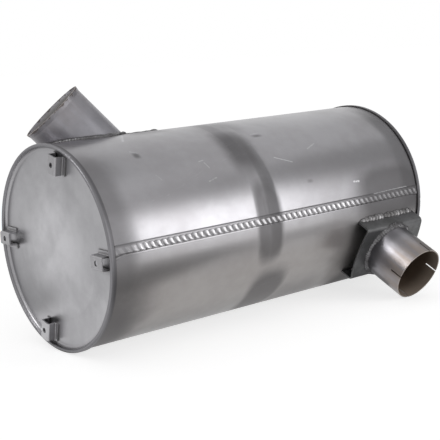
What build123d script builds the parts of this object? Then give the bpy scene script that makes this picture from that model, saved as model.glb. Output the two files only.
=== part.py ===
from build123d import *
import os
from math import acos, asin, atan2, cos, degrees, floor, hypot, radians, sin, sqrt, tan

# Exhaust muffler for a heavy engine: a rolled drum on its side, closed by a stitched lock seam, with pressed
# end caps rolled over its ends, a slotted outlet stub in a folded saddle, a leaning inlet stub and four hat
# shaped brackets on the near cap. Inside are three flanged baffles, three perforated transfer tubes and the
# perforated inner length of the outlet pipe, seated in a cup on the far wall.
#
# X runs along the drum, Y to the back and Z up. The origin is on the drum's axis, in the plane of the
# bracket faces. Angles round the drum are counted from straight up towards the front, which is -Y. All
# lengths are in mm and all angles in degrees.

# Drum
shell_radius = 170.0
shell_sheet = 1.5
drum_length = 708.0

# Lock seam, in which the two edges of the shell's sheet hook into each other
seam_band = 13.7
seam_proud = 1.0
hook_gap = 0.1
hook_return = 7.1
joggle_run = 2.2
joggle_bend = 2.0
dip_run = 2.8
dip_bend = 1.6
sheet_lead = 2.5
seam_room = 0.2
stitch_pitch = 12.0
stitch_margin = 22.0
stitch_depth = 0.8
stitch_wheel = 6.0
stitch_slant = 34.0
stitch_inset = 2.4

# End caps
cap_sheet = 2.0
cap_fit = 0.2
rim_gap = 0.3
rim_width = 9.0
rim_seat = 0.6
cap_recess = 8.0
crown_inset = 54.0
crown_height = 2.5

# Hat brackets on the near cap
bracket_proud = 9.0
bracket_inset = 25.5
bracket_sheet = 2.5
bracket_bend = 2.5
bracket_face = 23.0
bracket_foot = 7.5
bracket_length = 31.0
bracket_hole = 9.0

# Outlet stub and its saddle
outlet_from_far = 97.0
outlet_stub = 103.0
outlet_radius = 51.5
pipe_sheet = 2.0
pipe_fit = 0.3
clamp_slots = 4
clamp_slot_width = 2.6
clamp_slot_length = 25.0
clamp_slot_turn = -5.0
saddle_sheet = 3.0
saddle_rise = 20.0
saddle_edge = 4.5
saddle_end = 20.5
saddle_bow = 8.0
saddle_bend = 8.0
saddle_fit = 0.2
saddle_weld_leg = 5.5
outlet_weld_leg = 4.0
inlet_weld_leg = 5.5
weld_fit = 0.05

# Inlet stub
inlet_from_near = 114.6
inlet_lean = 36.2
inlet_stub = 77.3
inlet_tail = 80.7
inlet_radius = 57.15
inlet_flare = 1.5
inlet_flare_length = 8.0

# Places round the drum, counted from the outlet
seam_from_outlet = -31.9
inlet_from_outlet = -138.1
bracket_from_outlet = {"upper": -103.2, "front": -25.6, "lower": 76.8, "back": 154.4}

# Baffles and transfer tubes
front_chamber = 240.0
rear_chamber = 189.0
baffle_sheet = 1.5
baffle_fit = 0.3
baffle_flange = 15.0
baffle_bend = 4.0
baffle_notch_room = 1.5
tube_radius = 35.0
tube_sheet = 1.5
tube_fit = 0.3
tube_inset = 78.0
tube_overhang = 20.0
tube_collar = 8.0
tube_names = ["upper", "front", "back"]
tube_first_angle = 10.0
slot_length = 22.0
slot_width = 5.0
slots_round = 8
slot_rows_per_chamber = 3

# Perforated inner length of the outlet pipe, and the cup that it sits in
outlet_end_room = 24.0
outlet_slot_rows = 5
outlet_slot_pitch = 42.0
seat_sheet = 1.5
seat_depth = 14.0
seat_rim = 12.5

# Worked out from the sizes above
near_rim = bracket_proud
far_rim = near_rim + drum_length
shell_mid = shell_radius - shell_sheet / 2
shell_bore = shell_radius - shell_sheet
rim_radius = shell_radius + rim_gap + cap_sheet
crown_radius = shell_radius - crown_inset
bracket_circle = shell_radius - bracket_inset
outlet_x = far_rim - outlet_from_far
outlet_reach = shell_radius + outlet_stub
outlet_inner_end = shell_radius - outlet_end_room
saddle_reach = shell_radius + saddle_rise
saddle_height = 2 * (outlet_radius + saddle_edge)
saddle_length = 2 * (outlet_radius + saddle_end)
seat_foot = outlet_radius + seat_rim
seam_end = rim_width + seam_room
inlet_foot_x = near_rim + inlet_from_near + shell_radius * tan(radians(inlet_lean))
inlet_reach = shell_radius / cos(radians(inlet_lean)) + inlet_stub
inlet_depth = shell_radius / cos(radians(inlet_lean)) - inlet_tail
baffle_at = {"front": near_rim + front_chamber, "rear": far_rim - rear_chamber}
baffle_at["middle"] = (baffle_at["front"] + baffle_at["rear"]) / 2
tube_circle = shell_radius - tube_inset
# The drum lies on its two rims and on the edge of the outlet, which sets the outlet's angle.
outlet_angle = degrees(
    acos(-rim_radius / hypot(outlet_reach, outlet_radius)) - atan2(outlet_radius, outlet_reach)
)
seam_angle = outlet_angle + seam_from_outlet
inlet_angle = outlet_angle + inlet_from_outlet


def outward(angle):
    """Unit vector away from the drum's axis."""
    return Vector(0, -sin(radians(angle)), cos(radians(angle)))


def upward_along(angle):
    """Unit vector round the drum, towards its top when the angle is on the front."""
    return Vector(0, cos(radians(angle)), sin(radians(angle)))


def radial_plane(angle, x, height=0.0):
    """Plane at this height above the drum's axis: its X along the drum, its Z outward."""
    return Plane(origin=Vector(x, 0, 0) + outward(angle) * height, x_dir=(1, 0, 0), z_dir=outward(angle))


def cross_plane(angle, x):
    """Plane across the drum: its Y outward at this angle, its Z along the drum."""
    return Plane(origin=(x, 0, 0), x_dir=upward_along(angle), z_dir=(1, 0, 0))


def axis_plane(angle, x):
    """Plane through the drum's axis: its X along the drum, its Y outward at this angle."""
    return Plane(origin=(x, 0, 0), x_dir=(1, 0, 0), z_dir=-upward_along(angle))


def along_drum(x):
    """Place on the axis, its Z along the drum, where a cylinder's own seam lies at the drum's bottom."""
    return Location(Plane(origin=(x, 0, 0), x_dir=(0, 0, -1), z_dir=(1, 0, 0)))


def leaning_plane():
    """Plane across the inlet pipe, where the pipe's axis meets the drum's."""
    lean = radians(inlet_lean)
    direction = outward(inlet_angle) * cos(lean) - Vector(sin(lean), 0, 0)
    return Plane(origin=(inlet_foot_x, 0, 0), z_dir=direction)


def save(builder, name):
    """Name a finished piece and write it to its own file."""
    builder.part.label = name
    export_step(builder.part, f"parts/{name}.step")


os.makedirs("parts", exist_ok=True)

# Shell: one sheet, whose cross-section is traced once round the drum and through both hooks of the seam.
# The sheet's upper edge lies on top and folds under at the band's lower side, round the lower edge, which
# dips below it and folds up into it.
layer = shell_sheet + hook_gap
top_layer = shell_radius + seam_proud - shell_sheet / 2
hook_at = seam_band / 2 - layer - shell_sheet / 2
upper_lead = seam_band / 2 + joggle_run
lower_lead = seam_band / 2 + dip_run
upper_start = upper_lead + sheet_lead
lower_start = lower_lead + sheet_lead


def on_sheet(u):
    """Point of the sheet's middle at this distance round the drum from the seam's centre line."""
    return Vector(u, sqrt(shell_mid**2 - u**2))


def tangent_point(start, u):
    """Point on the sheet's tangent at start, where that line reaches this distance from the centre line."""
    return Vector(u, on_sheet(start).Y - (u - start) * start / on_sheet(start).Y)


with BuildPart() as shell:
    with BuildSketch(cross_plane(seam_angle, near_rim + seam_end)):
        with BuildLine():
            round_start = 90 - degrees(asin(upper_start / shell_mid))
            round_turn = 360 - degrees(asin(upper_start / shell_mid) + asin(lower_start / shell_mid))
            CenterArc((0, 0), shell_mid, round_start, -round_turn)
            FilletPolyline(
                on_sheet(upper_start),
                tangent_point(upper_start, upper_lead),
                (seam_band / 2, top_layer),
                (-hook_at, top_layer),
                radius=[joggle_bend, joggle_bend],
            )
            ThreePointArc(
                (-hook_at, top_layer),
                (-hook_at - layer, top_layer - layer),
                (-hook_at, top_layer - 2 * layer),
            )
            Line((-hook_at, top_layer - 2 * layer), (-hook_at + hook_return, top_layer - 2 * layer))
            FilletPolyline(
                on_sheet(-lower_start),
                tangent_point(-lower_start, -lower_lead),
                (-seam_band / 2 - shell_sheet / 2, top_layer - 3 * layer),
                (hook_at, top_layer - 3 * layer),
                radius=[dip_bend, dip_bend],
            )
            ThreePointArc(
                (hook_at, top_layer - 3 * layer),
                (hook_at + layer, top_layer - 2 * layer),
                (hook_at, top_layer - layer),
            )
            Line((hook_at, top_layer - layer), (hook_at - hook_return, top_layer - layer))
        trace(line_width=shell_sheet)
    extrude(amount=drum_length - 2 * seam_end)
    # Plain round ends, which the caps' rims close over
    for start in (near_rim + cap_sheet + rim_seat, far_rim - seam_end):
        with BuildSketch(cross_plane(seam_angle, start)):
            Circle(shell_radius)
            Circle(shell_bore, mode=Mode.SUBTRACT)
        extrude(amount=seam_end - cap_sheet - rim_seat)
    # Slanted dents that the stitching wheel rolls into the band
    slant = radians(stitch_slant)
    stitch_run = Vector(sin(slant), 0, 0) - upward_along(seam_angle) * cos(slant)
    stitch_count = floor((drum_length - 2 * stitch_margin) / stitch_pitch) + 1
    stitch_first = near_rim + (drum_length - (stitch_count - 1) * stitch_pitch) / 2
    stitch_start = outward(seam_angle) * (shell_radius + seam_proud - stitch_depth + stitch_wheel)
    stitch_start += upward_along(seam_angle) * (seam_band / 2 - stitch_inset)
    with Locations(
        [
            Plane(origin=stitch_start + Vector(stitch_first + i * stitch_pitch, 0, 0), z_dir=stitch_run)
            for i in range(stitch_count)
        ]
    ):
        Cylinder(
            stitch_wheel,
            1.5 * seam_band,
            align=(Align.CENTER, Align.CENTER, Align.MIN),
            mode=Mode.SUBTRACT,
        )
    # Holes for the two pipes
    with Locations(radial_plane(outlet_angle, outlet_x)):
        Cylinder(
            outlet_radius + pipe_fit,
            saddle_reach,
            align=(Align.CENTER, Align.CENTER, Align.MIN),
            mode=Mode.SUBTRACT,
        )
    with Locations(leaning_plane()):
        Cylinder(
            inlet_radius + pipe_fit,
            inlet_reach,
            align=(Align.CENTER, Align.CENTER, Align.MIN),
            mode=Mode.SUBTRACT,
        )
save(shell, "shell")

# End caps: a pressed disc, recessed and lightly crowned, whose edge is rolled over the end of the shell
rim_outer_mid = shell_radius + rim_gap + cap_sheet / 2
rim_inner_mid = shell_bore - cap_fit - cap_sheet / 2
rim_roll = (rim_outer_mid - rim_inner_mid) / 2
roll_at = rim_roll + cap_sheet / 2
disc_mid = cap_recess + cap_sheet / 2
knuckle = disc_mid - roll_at
crown_ball = (crown_radius**2 + crown_height**2) / (2 * crown_height)
crown_turn = degrees(asin(crown_radius / crown_ball))
crown_centre = disc_mid - crown_height + crown_ball

cap_planes = {
    "front_head": Plane(origin=(near_rim, 0, 0), x_dir=(1, 0, 0), z_dir=(0, -1, 0)),
    "rear_head": Plane(origin=(far_rim, 0, 0), x_dir=(-1, 0, 0), z_dir=(0, 1, 0)),
}
for cap_name, cap_plane in cap_planes.items():
    with BuildPart() as head:
        with BuildSketch(cap_plane):
            with BuildLine():
                Line((rim_width, rim_outer_mid), (roll_at, rim_outer_mid))
                ThreePointArc(
                    (roll_at, rim_outer_mid),
                    (roll_at - rim_roll, rim_outer_mid - rim_roll),
                    (roll_at, rim_inner_mid),
                )
                CenterArc((roll_at, rim_inner_mid - knuckle), knuckle, 90, -90)
                Line((disc_mid, rim_inner_mid - knuckle), (disc_mid, crown_radius))
                CenterArc((crown_centre, 0), crown_ball, 180 - crown_turn, 2 * crown_turn)
            trace(line_width=cap_sheet)
            split(bisect_by=Plane.XZ, keep=Keep.BOTTOM)
        revolve(axis=Axis.X)
    save(head, cap_name)

# Hat brackets: a folded strip with a raised face, two sides and two feet, standing on the near cap
foot_level = -(near_rim + cap_recess)
for bracket_name, from_outlet in bracket_from_outlet.items():
    angle = outlet_angle + from_outlet
    bracket_plane = Plane(
        origin=outward(angle) * (bracket_circle - bracket_length / 2),
        x_dir=upward_along(angle),
        z_dir=outward(angle),
    )
    side = bracket_face / 2 - bracket_sheet / 2
    foot_mid = foot_level + bracket_sheet / 2
    with BuildPart() as bracket:
        with BuildSketch(bracket_plane):
            with BuildLine():
                FilletPolyline(
                    (-side - bracket_foot, foot_mid),
                    (-side, foot_mid),
                    (-side, -bracket_sheet / 2),
                    (side, -bracket_sheet / 2),
                    (side, foot_mid),
                    (side + bracket_foot, foot_mid),
                    radius=bracket_bend,
                )
            trace(line_width=bracket_sheet)
        extrude(amount=bracket_length)
        with Locations(Plane(origin=outward(angle) * bracket_circle, z_dir=(-1, 0, 0))):
            Cylinder(bracket_hole / 2, 4 * bracket_sheet, mode=Mode.SUBTRACT)
    save(bracket, f"bracket_{bracket_name}")

# Outlet saddle: a folded channel, bowed at both ends, whose feet are trimmed to the drum
with BuildPart() as outlet_saddle:
    saddle_side = saddle_height / 2 - saddle_sheet / 2
    saddle_face = saddle_reach - saddle_sheet / 2
    with BuildSketch(cross_plane(outlet_angle, outlet_x - saddle_length / 2 - saddle_bow)):
        with BuildLine():
            FilletPolyline(
                (-saddle_side, shell_radius / 2),
                (-saddle_side, saddle_face),
                (saddle_side, saddle_face),
                (saddle_side, shell_radius / 2),
                radius=saddle_bend - saddle_sheet / 2,
            )
        trace(line_width=saddle_sheet)
    extrude(amount=saddle_length + 2 * saddle_bow)
    with BuildSketch(radial_plane(outlet_angle, outlet_x)):
        with BuildLine():
            end, edge = saddle_length / 2, saddle_height / 2
            Line((-end, edge), (end, edge))
            ThreePointArc((end, edge), (end + saddle_bow, 0), (end, -edge))
            Line((end, -edge), (-end, -edge))
            ThreePointArc((-end, -edge), (-end - saddle_bow, 0), (-end, edge))
        make_face()
    extrude(amount=saddle_reach, mode=Mode.INTERSECT)
    with Locations(along_drum(outlet_x)):
        Cylinder(shell_radius + saddle_fit, 2 * saddle_length, mode=Mode.SUBTRACT)
    with Locations(radial_plane(outlet_angle, outlet_x)):
        Cylinder(
            outlet_radius + pipe_fit,
            2 * saddle_reach,
            align=(Align.CENTER, Align.CENTER, Align.MIN),
            mode=Mode.SUBTRACT,
        )
save(outlet_saddle, "outlet_saddle")

# Outlet pipe: slotted for a clamp at its mouth, perforated inside the drum
with BuildPart() as outlet_pipe:
    with BuildSketch(radial_plane(outlet_angle, outlet_x, -outlet_inner_end)):
        Circle(outlet_radius)
        Circle(outlet_radius - pipe_sheet, mode=Mode.SUBTRACT)
    extrude(amount=outlet_inner_end + outlet_reach)
    with Locations(radial_plane(outlet_angle, outlet_x, outlet_reach)):
        with PolarLocations(outlet_radius, clamp_slots, start_angle=clamp_slot_turn):
            Box(4 * pipe_sheet, clamp_slot_width, 2 * clamp_slot_length, mode=Mode.SUBTRACT)
    for row in range(outlet_slot_rows):
        row_height = (row - (outlet_slot_rows - 1) / 2) * outlet_slot_pitch
        with Locations(radial_plane(outlet_angle, outlet_x, row_height)):
            with PolarLocations(outlet_radius, slots_round, start_angle=(row % 2) * 180 / slots_round):
                Box(4 * pipe_sheet, slot_width, slot_length, mode=Mode.SUBTRACT)
save(outlet_pipe, "outlet_pipe")

# Weld round the outlet pipe: a bead on the saddle's face, which runs down its bends where the pipe meets them
with BuildPart() as outlet_weld:
    with BuildSketch(axis_plane(outlet_angle, outlet_x)):
        with Locations((outlet_radius + weld_fit, saddle_reach)):
            Circle(outlet_weld_leg)
            Rectangle(outlet_weld_leg, saddle_bend, align=(Align.MIN, Align.MAX))
            Rectangle(
                2 * outlet_weld_leg,
                4 * outlet_weld_leg,
                align=(Align.MAX, Align.CENTER),
                mode=Mode.SUBTRACT,
            )
    revolve(axis=Axis((outlet_x, 0, 0), tuple(outward(outlet_angle))))
    with BuildSketch(cross_plane(outlet_angle, outlet_x - saddle_length)):
        RectangleRounded(saddle_height + 2 * weld_fit, 2 * (saddle_reach + weld_fit), saddle_bend)
    extrude(amount=2 * saddle_length, mode=Mode.SUBTRACT)
save(outlet_weld, "outlet_weld")

# Welds along the saddle's feet
foot_height = sqrt(shell_radius**2 - (saddle_height / 2) ** 2)
for weld_name, side in {"saddle_weld_upper": 1, "saddle_weld_lower": -1}.items():
    with BuildPart() as saddle_weld:
        with BuildSketch(cross_plane(outlet_angle, outlet_x - saddle_length / 2 + saddle_weld_leg)):
            with Locations((side * saddle_height / 2, foot_height)):
                Circle(saddle_weld_leg)
            Circle(shell_radius + weld_fit, mode=Mode.SUBTRACT)
            with Locations((0, foot_height)):
                Rectangle(saddle_height + 2 * weld_fit, 4 * saddle_weld_leg, mode=Mode.SUBTRACT)
        extrude(amount=saddle_length - 2 * saddle_weld_leg)
    save(saddle_weld, weld_name)

# Inlet pipe: leans back over the near end, lightly flared at its mouth and open inside the first chamber
with BuildPart() as inlet_pipe:
    inlet_side = Plane(
        origin=leaning_plane().origin, x_dir=leaning_plane().x_dir, z_dir=-leaning_plane().y_dir
    )
    with BuildSketch(inlet_side):
        with BuildLine():
            FilletPolyline(
                (inlet_radius - pipe_sheet / 2, inlet_depth),
                (inlet_radius - pipe_sheet / 2, inlet_reach - inlet_flare_length),
                (inlet_radius - pipe_sheet / 2 + inlet_flare, inlet_reach),
                radius=inlet_flare_length,
            )
        trace(line_width=pipe_sheet)
    revolve(axis=Axis(leaning_plane().origin, leaning_plane().z_dir))
save(inlet_pipe, "inlet_pipe")

# Weld where the inlet pipe meets the shell
with BuildPart() as inlet_weld:
    with Locations(along_drum(inlet_foot_x)):
        Cylinder(shell_radius + weld_fit, drum_length)
    with Locations(leaning_plane()):
        Cylinder(inlet_radius + weld_fit, inlet_reach, align=(Align.CENTER, Align.CENTER, Align.MIN))
    joint = inlet_weld.edges().filter_by(GeomType.CIRCLE, reverse=True).filter_by(GeomType.LINE, reverse=True)
    chamfer(joint, inlet_weld_leg)
    with Locations(along_drum(inlet_foot_x)):
        Cylinder(shell_radius + weld_fit, drum_length, mode=Mode.SUBTRACT)
    with Locations(leaning_plane()):
        Cylinder(
            inlet_radius + weld_fit,
            inlet_reach,
            align=(Align.CENTER, Align.CENTER, Align.MIN),
            mode=Mode.SUBTRACT,
        )
save(inlet_weld, "inlet_weld")

# Baffles: flanged discs, notched over the seam, with a collar for each transfer tube
tube_places = {
    name: outward(tube_first_angle + i * 360 / len(tube_names)) * tube_circle
    for i, name in enumerate(tube_names)
}
notch_width = lower_start + upper_start
notch_depth = shell_bore - (top_layer - 3 * layer - shell_sheet / 2) + baffle_notch_room
for baffle_name, baffle_x in baffle_at.items():
    flange_mid = shell_bore - baffle_fit - baffle_sheet / 2
    with BuildPart() as baffle:
        with BuildSketch(Plane.XZ):
            with BuildLine():
                FilletPolyline(
                    (baffle_x + baffle_flange, flange_mid),
                    (baffle_x, flange_mid),
                    (baffle_x, -flange_mid / 2),
                    radius=baffle_bend,
                )
            trace(line_width=baffle_sheet)
            split(bisect_by=Plane.XZ, keep=Keep.BOTTOM)
        revolve(axis=Axis.X)
        for place in tube_places.values():
            with BuildSketch(Plane(origin=place + Vector(baffle_x, 0, 0), z_dir=(1, 0, 0))):
                Circle(tube_radius + tube_fit + baffle_sheet)
            extrude(amount=tube_collar)
        for place in tube_places.values():
            with Locations(Plane(origin=place + Vector(baffle_x, 0, 0), z_dir=(1, 0, 0))):
                Cylinder(tube_radius + tube_fit, 4 * tube_collar, mode=Mode.SUBTRACT)
        with Locations(radial_plane(seam_angle, baffle_x, shell_bore)):
            Box(4 * baffle_flange, notch_width, 2 * notch_depth, mode=Mode.SUBTRACT)
    save(baffle, f"baffle_{baffle_name}")

# Transfer tubes: straight through the three baffles, perforated between them
tube_start = baffle_at["front"] - tube_overhang
tube_end = baffle_at["rear"] + tube_overhang
chambers = [(baffle_at["front"], baffle_at["middle"]), (baffle_at["middle"], baffle_at["rear"])]
for tube_name, place in tube_places.items():
    with BuildPart() as tube:
        with BuildSketch(Plane(origin=place + Vector(tube_start, 0, 0), z_dir=(1, 0, 0))):
            Circle(tube_radius)
            Circle(tube_radius - tube_sheet, mode=Mode.SUBTRACT)
        extrude(amount=tube_end - tube_start)
        for chamber_start, chamber_end in chambers:
            row_pitch = (chamber_end - chamber_start) / (slot_rows_per_chamber + 1)
            for row in range(slot_rows_per_chamber):
                row_x = chamber_start + row_pitch * (row + 1)
                with Locations(Plane(origin=place + Vector(row_x, 0, 0), z_dir=(1, 0, 0))):
                    with PolarLocations(tube_radius, slots_round, start_angle=(row % 2) * 180 / slots_round):
                        Box(4 * tube_sheet, slot_width, slot_length, mode=Mode.SUBTRACT)
    save(tube, f"transfer_tube_{tube_name}")

# Seat cup: a curved foot on the shell's inner wall and a collar round the outlet pipe's inner end
seat_radius = shell_bore - cap_fit
with BuildPart() as outlet_seat:
    with BuildSketch(radial_plane(outlet_angle, outlet_x, -shell_radius)):
        Circle(seat_foot)
    extrude(amount=shell_radius / 2)
    with Locations(along_drum(outlet_x)):
        Cylinder(seat_radius - seat_sheet, 4 * seat_foot, mode=Mode.SUBTRACT)
    with BuildSketch(radial_plane(outlet_angle, outlet_x, -shell_radius)):
        Circle(outlet_radius + pipe_fit + seat_sheet)
        Circle(outlet_radius + pipe_fit, mode=Mode.SUBTRACT)
    extrude(amount=shell_radius - outlet_inner_end + seat_depth)
    with Locations(along_drum(outlet_x)):
        Cylinder(seat_radius, 4 * seat_foot, mode=Mode.INTERSECT)
save(outlet_seat, "outlet_seat")
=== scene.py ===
import logging
import math
import random
from dataclasses import dataclass, replace
from enum import Enum
from itertools import accumulate
from typing import Optional, Sequence, Union

import bpy
from mathutils import Matrix, Vector, noise


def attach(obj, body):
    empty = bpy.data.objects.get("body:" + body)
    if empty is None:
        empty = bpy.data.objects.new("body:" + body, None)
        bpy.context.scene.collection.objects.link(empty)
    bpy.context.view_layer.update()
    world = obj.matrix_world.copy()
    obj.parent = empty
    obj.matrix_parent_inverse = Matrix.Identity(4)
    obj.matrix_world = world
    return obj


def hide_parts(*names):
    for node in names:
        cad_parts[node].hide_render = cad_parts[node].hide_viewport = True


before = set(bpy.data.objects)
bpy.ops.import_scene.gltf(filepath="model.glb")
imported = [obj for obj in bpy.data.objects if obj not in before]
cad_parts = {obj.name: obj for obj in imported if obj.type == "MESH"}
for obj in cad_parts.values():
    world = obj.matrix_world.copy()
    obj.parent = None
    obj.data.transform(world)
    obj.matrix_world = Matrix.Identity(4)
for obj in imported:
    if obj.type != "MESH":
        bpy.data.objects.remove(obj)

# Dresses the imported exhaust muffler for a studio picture. Lengths are in metres. X runs along the drum, away
# from its brackets, Y to the back and Z up. Angles round the drum are in degrees, counted from straight up
# towards the front, which is -Y.

LOG = logging.getLogger("muffler")
Socket = bpy.types.NodeSocket
Value = Union[Socket, float, Sequence[float]]
Track = list[tuple[Vector, Vector, Vector]]
ORIGIN = (0.0, 0.0, 0.0)

DRUM_RADIUS = 0.170
NEAR_RIM = 0.009
FAR_RIM = 0.717
DRUM_MIDDLE = (NEAR_RIM + FAR_RIM) / 2
DRUM_HALF = (FAR_RIM - NEAR_RIM) / 2
OUTLET_ANGLE = 117.6475
SEAM_ANGLE = 85.7475
INLET_ANGLE = -20.4525

# The stitches lean by their slant. The first one's place is counted at their top, above the seam's middle.
STITCH_PITCH = 0.012
STITCH_SLANT = 0.6745
STITCH_TOP = 0.00445
FIRST_STITCH = 0.033


def outward(angle: float) -> Vector:
    """Unit vector away from the drum's axis at this angle round it."""
    return Vector((0.0, -math.sin(math.radians(angle)), math.cos(math.radians(angle))))


def onward(angle: float) -> Vector:
    """Unit vector round the drum at this angle, towards smaller angles."""
    return Vector((0.0, math.cos(math.radians(angle)), math.sin(math.radians(angle))))


def round_to(angle: float) -> float:
    """Distance round the drum's wall from its top to this angle."""
    return math.radians(angle) * DRUM_RADIUS


def turns(count: int) -> list[float]:
    """Even turns round a full circle, in radians."""
    return [2 * math.pi * i / count for i in range(count)]


def shares(count: int) -> list[float]:
    """Even shares from 0 to 1."""
    return [i / (count - 1) for i in range(count)]


def add_object(name: str, data: bpy.types.ID) -> bpy.types.Object:
    """Adds an object with this data to the scene.

    Args:
        name: name of the object.
        data: its mesh, lamp or camera.

    Returns:
        The object.
    """
    made = bpy.data.objects.new(name, data)
    bpy.context.scene.collection.objects.link(made)
    return made


def add_mesh(name: str, verts: Sequence, faces: Sequence) -> bpy.types.Object:
    """Adds an object with a new mesh to the scene.

    Args:
        name: name of the object and its mesh.
        verts: places of the mesh's points.
        faces: numbers of the points round each face.

    Returns:
        The object.
    """
    mesh = bpy.data.meshes.new(name)
    mesh.from_pydata([tuple(vert) for vert in verts], [], faces)
    mesh.validate()
    return add_object(name, mesh)


def tube_faces(rows: int, around: int, closed: bool = False) -> list:
    """Faces of a tube or closed strip.

    Args:
        rows: how many rows of points it has.
        around: how many points each row has.
        closed: whether it runs back into its own start. Otherwise it gets flat ends.

    Returns:
        The numbers of the points round each face.
    """
    faces = []
    for i in range(rows if closed else rows - 1):
        a, b = i * around, (i + 1) % rows * around
        for j in range(around):
            k = (j + 1) % around
            faces.append((a + j, a + k, b + k, b + j))
    if not closed:
        faces.append(tuple(reversed(range(around))))
        faces.append(tuple((rows - 1) * around + j for j in range(around)))
    return faces


# Shader wiring


class Wiring:
    """Adds shader nodes to one tree and links them."""

    def __init__(self, tree: bpy.types.NodeTree) -> None:
        """Works on this tree."""
        self.tree = tree

    @classmethod
    def of(cls, owner: Union[bpy.types.Material, bpy.types.World]) -> "Wiring":
        """Wiring of a material's or world's tree, which is emptied first.

        Args:
            owner: the material or world.

        Returns:
            The wiring.
        """
        owner.use_nodes = True
        owner.node_tree.nodes.clear()
        return cls(owner.node_tree)

    def add(self, kind: str, inputs: Optional[dict] = None, **settings) -> bpy.types.Node:
        """Adds a node.

        Args:
            kind: the node's type without its ShaderNode prefix.
            inputs: what goes into each input, a socket to link or a value to set, by name or number.
            settings: properties of the node.

        Returns:
            The node.
        """
        node = self.tree.nodes.new(kind if kind.startswith("Node") else f"ShaderNode{kind}")
        for name, value in settings.items():
            setattr(node, name, value)
        for key, value in (inputs or {}).items():
            self.feed(node.inputs[key], value)
        return node

    def feed(self, socket: Socket, value: Value) -> None:
        """Feeds an input.

        Args:
            socket: the input.
            value: a socket to link to it, or the value to set. A colour may leave out its alpha.
        """
        if isinstance(value, bpy.types.NodeSocket):
            self.tree.links.new(value, socket)
        elif hasattr(value, "__len__") and socket.type == "RGBA" and len(value) == 3:
            socket.default_value = (*value, 1.0)
        else:
            socket.default_value = value

    def math(self, operation: str, *values: Value) -> Socket:
        """Result of one step of arithmetic on these values."""
        return self.add("Math", dict(enumerate(values)), operation=operation).outputs[0]

    def times(self, first: Value, *others: Value) -> Socket:
        """Product of two or more values, taken in order."""
        for other in others:
            first = self.math("MULTIPLY", first, other)
        return first

    def plus(self, a: Value, b: Value) -> Socket:
        """Sum of two values."""
        return self.math("ADD", a, b)

    def minus(self, a: Value, b: Value) -> Socket:
        """The first value less the second."""
        return self.math("SUBTRACT", a, b)

    def apart(self, a: Value, b: Value) -> Socket:
        """How far two values are from each other."""
        return self.math("ABSOLUTE", self.minus(a, b))

    def larger(self, a: Value, b: Value) -> Socket:
        """The larger of two values."""
        return self.math("MAXIMUM", a, b)

    def vector(self, operation: str, *values: Value) -> Socket:
        """Vector result of one step of vector arithmetic."""
        return self.add("VectorMath", dict(enumerate(values)), operation=operation).outputs[0]

    def dot(self, a: Value, b: Value) -> Socket:
        """Dot product of two vectors."""
        return self.add("VectorMath", {0: a, 1: b}, operation="DOT_PRODUCT").outputs[1]

    def step(self, value: Value, low: Value, high: Value, start: Value = 0.0, end: Value = 1.0) -> Socket:
        """Goes smoothly from start to end as the value goes from low to high."""
        inputs = {"Value": value, "From Min": low, "From Max": high, "To Min": start, "To Max": end}
        return self.add("MapRange", inputs, interpolation_type="SMOOTHSTEP").outputs[0]

    def fade(self, value: Value, low: Value, high: Value) -> Socket:
        """Goes smoothly from 1 to 0 as the value goes from low to high."""
        return self.step(value, low, high, 1.0, 0.0)

    def mix(self, share: Value, a: Value, b: Value) -> Socket:
        """Colour between a and b."""
        return self.add("Mix", {"Factor": share, 6: a, 7: b}, data_type="RGBA").outputs[2]

    def blend(self, share: Value, a: Value, b: Value) -> Socket:
        """Value between a and b."""
        return self.add("Mix", {"Factor": share, 2: a, 3: b}, data_type="FLOAT").outputs[0]

    def noise(self, place: Value, scale: Value, detail: float = 2.0, rough: float = 0.5) -> Socket:
        """Cloudy value about 0.5 that varies over the place."""
        inputs = {"Vector": place, "Scale": scale, "Detail": detail, "Roughness": rough}
        return self.add("TexNoise", inputs).outputs["Fac"]

    def bump(self, height: Value, distance: float, normal: Optional[Socket] = None) -> Socket:
        """Bends the surface's normal by a height.

        Args:
            height: the height, which is in metres when the distance is 1.
            distance: how many metres a height of 1 stands for.
            normal: the normal to bend, when it isn't the plain one.

        Returns:
            The bent normal.
        """
        inputs = {"Height": height, "Distance": distance, "Strength": 1.0}
        if normal is not None:
            inputs["Normal"] = normal
        return self.add("Bump", inputs).outputs[0]


# Shared effects


class Effect:
    """A shader node group, built once and placed in each material with its own values.

    Its inputs are listed with the values that they have where a material gives none.
    """

    name: str = ""
    inputs: dict = {}
    outputs: tuple = ("Mask",)

    def wire(self, w: Wiring, given: dict) -> dict:
        """Builds the inside of the group.

        Args:
            w: wiring of the group's tree.
            given: the group's inputs, as sockets by name, in the order in which the class lists them.

        Returns:
            The socket for each output, by name.
        """
        raise NotImplementedError

    def tree(self) -> bpy.types.NodeTree:
        """The group's node tree, built when it is first asked for."""
        found = bpy.data.node_groups.get(self.name)
        if found:
            return found
        tree = bpy.data.node_groups.new(self.name, "ShaderNodeTree")
        for name, value in self.inputs.items():
            kind = "NodeSocketVector" if hasattr(value, "__len__") else "NodeSocketFloat"
            socket = tree.interface.new_socket(name, in_out="INPUT", socket_type=kind)
            socket.default_value = value
        for name in self.outputs:
            kind = "NodeSocketVector" if name == "Flat" else "NodeSocketFloat"
            tree.interface.new_socket(name, in_out="OUTPUT", socket_type=kind)
        w = Wiring(tree)
        entry = w.add("NodeGroupInput").outputs
        w.add("NodeGroupOutput", self.wire(w, {name: entry[name] for name in self.inputs}))
        return tree

    def place(self, w: Wiring, **values: Value) -> bpy.types.NodeOutputs:
        """Places the group in a material.

        Args:
            w: wiring of the material.
            values: the group's inputs, by name in lower case.

        Returns:
            The placed group's outputs.
        """
        inputs = {name: values[name.lower()] for name in self.inputs if name.lower() in values}
        return w.add("Group", inputs, node_tree=self.tree()).outputs


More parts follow.
